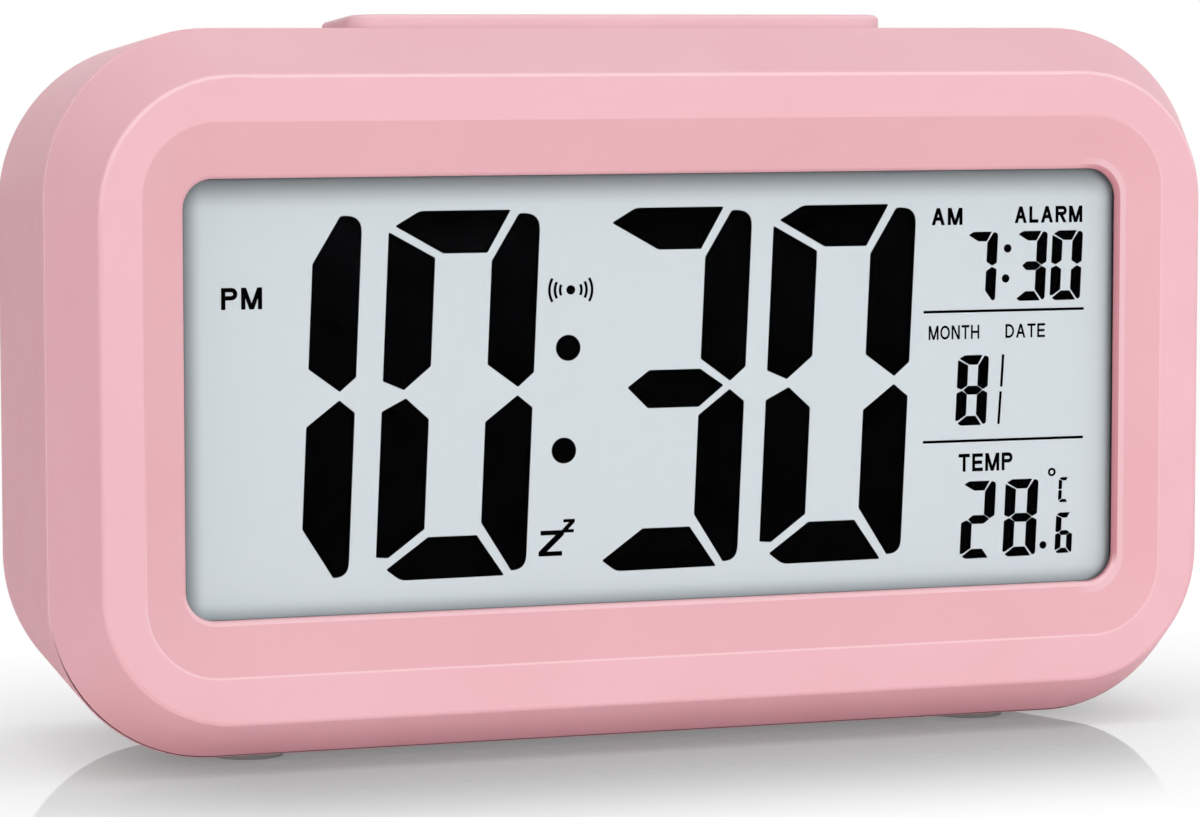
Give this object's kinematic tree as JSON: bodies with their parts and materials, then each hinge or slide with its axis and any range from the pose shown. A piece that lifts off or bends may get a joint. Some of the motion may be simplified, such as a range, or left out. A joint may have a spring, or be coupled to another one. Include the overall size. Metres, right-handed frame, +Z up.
{
  "type": "digital alarm clock",
  "caption": "Low wide digital alarm clock with chamfered moulded case, recessed segment display, press bar on top, rear keys and battery cover.",
  "frame": {"origin": "under the middle of the clock, on the surface that it stands on", "axes": "+X to the right seen from the front, +Y to the back, +Z up"},
  "size_m": [0.137, 0.0458, 0.0817],
  "materials": {
    "moulded_abs": "satin moulded ABS, pink",
    "lens": "clear moulded acrylic",
    "foam": "black closed-cell foam",
    "polariser": "matt polarising film over a grey-white display",
    "display_glass": "thin display glass",
    "white_film": "white film",
    "light_guide": "frosted acrylic",
    "white_abs": "white moulded ABS",
    "circuit_board": "green solder mask",
    "lamp": "small white lamps",
    "elastomer": "striped silicone strip",
    "black_resin": "cured resin drop",
    "steel": "plated steel",
    "component_plastic": "black component bodies",
    "black_plastic": "black moulded plastic",
    "cell_jacket": "plain printed cell jacket",
    "contact_metal": "nickel-plated spring steel",
    "rubber": "soft pale rubber",
    "ribbon": "flat white ribbon",
    "red_wire": "red insulated wire",
    "black_wire": "black insulated wire"
  },
  "bodies": {
    "case": {"front_bezel": "moulded_abs", "rear_housing": "moulded_abs", "display_lens": "lens", "display_gasket": "foam", "front_polariser": "polariser", "lcd_cell": "display_glass", "rear_polariser": "polariser", "diffuser_film": "white_film", "light_guide": "light_guide", "reflector_sheet": "white_film", "led_board": "circuit_board", "backlight_leds": "lamp", "backlight_tray": "white_abs", "contact_strip": "elastomer", "main_board": "circuit_board", "clock_chip": "black_resin", "quartz_crystal": "steel", "capacitor": "component_plastic", "thermistor": "component_plastic", "key_board": "circuit_board", "key_switches": "component_plastic", "slide_switch": "component_plastic", "snooze_board": "circuit_board", "snooze_switch": "component_plastic", "cell_bottom": "cell_jacket", "cell_middle": "cell_jacket", "cell_top": "cell_jacket", "contact_positive": "contact_metal", "contact_link_left": "contact_metal", "contact_link_right": "contact_metal", "contact_negative": "contact_metal", "buzzer": "component_plastic", "rubber_feet": "rubber", "case_screws": "steel", "board_screws": "steel", "key_board_screws": "steel", "snooze_board_screws": "steel", "key_ribbon": "ribbon", "battery_lead_red": "red_wire", "battery_lead_black": "black_wire", "buzzer_leads": "black_wire", "snooze_leads": "black_wire"},
    "snooze_bar": {"snooze_bar": "moulded_abs"},
    "mode_key": {"mode_key": "moulded_abs"},
    "set_key": {"set_key": "moulded_abs"},
    "up_key": {"up_key": "moulded_abs"},
    "down_key": {"down_key": "moulded_abs"},
    "slider": {"slider_knob": "black_plastic", "slider_lever": "black_plastic"},
    "battery_cover": {"battery_cover": "moulded_abs"}
  },
  "joints": [
    {"name": "snooze_press", "type": "slide", "parent": "case", "child": "snooze_bar", "axis": [0, 0, -1], "range_m": [0, 0.0008], "stiffness_N_per_m": 1500},
    {"name": "mode_key_press", "type": "slide", "parent": "case", "child": "mode_key", "axis": [0, -1, 0], "range_m": [0, 0.0005], "stiffness_N_per_m": 1500},
    {"name": "set_key_press", "type": "slide", "parent": "case", "child": "set_key", "axis": [0, -1, 0], "range_m": [0, 0.0005], "stiffness_N_per_m": 1500},
    {"name": "up_key_press", "type": "slide", "parent": "case", "child": "up_key", "axis": [0, -1, 0], "range_m": [0, 0.0005], "stiffness_N_per_m": 1500},
    {"name": "down_key_press", "type": "slide", "parent": "case", "child": "down_key", "axis": [0, -1, 0], "range_m": [0, 0.0005], "stiffness_N_per_m": 1500},
    {"name": "slider_move", "type": "slide", "parent": "case", "child": "slider", "axis": [1, 0, 0], "range_m": [0, 0.003]},
    {"name": "battery_cover_swing", "type": "hinge", "parent": "case", "child": "battery_cover", "pos_m": [0, 0.0221, 0.012], "axis": [-1, 0, 0], "range_deg": [0, 50]}
  ]
}
